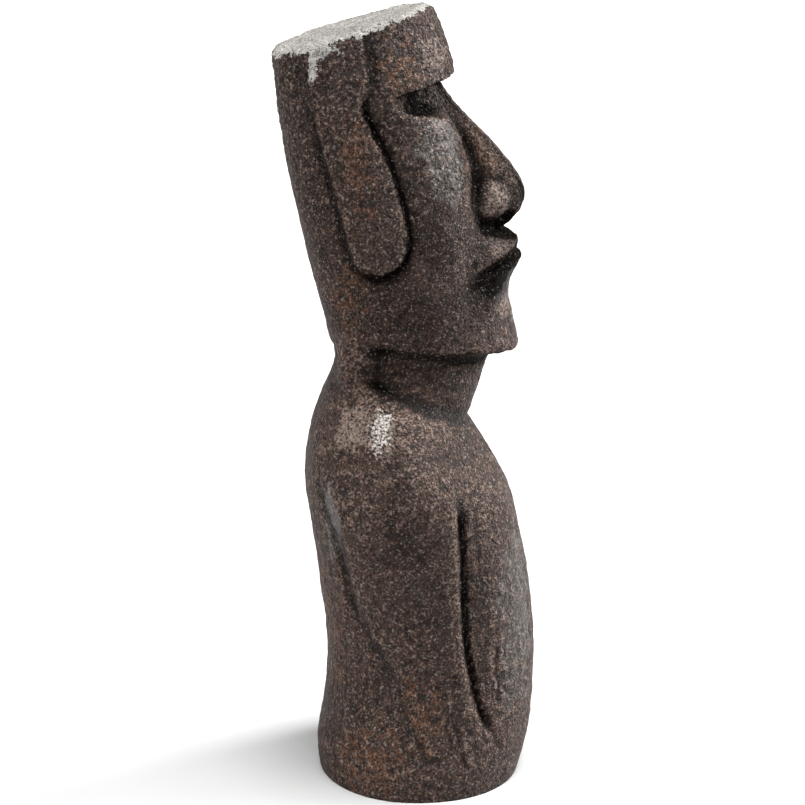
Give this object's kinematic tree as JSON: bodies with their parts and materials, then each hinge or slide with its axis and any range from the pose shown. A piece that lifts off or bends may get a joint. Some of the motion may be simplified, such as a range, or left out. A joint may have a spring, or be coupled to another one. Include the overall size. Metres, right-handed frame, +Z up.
{
  "type": "moai statue",
  "caption": "Standing moai figure, head and torso cast in one piece, head leaning back, flat crown and flat underside.",
  "frame": {"origin": "middle of the figure's box, at the plane it stands on", "axes": "+Z up, the figure faces -Y, its own right side is -X"},
  "size_m": [0.1798, 0.195, 0.5878],
  "materials": {
    "cast_stone": "dry, sandy, dark brown cast stone with rust-brown patches, rubbed paler on the raised places and on the crown"
  },
  "bodies": {
    "root": {"moai_statue": "cast_stone"}
  },
  "joints": []
}
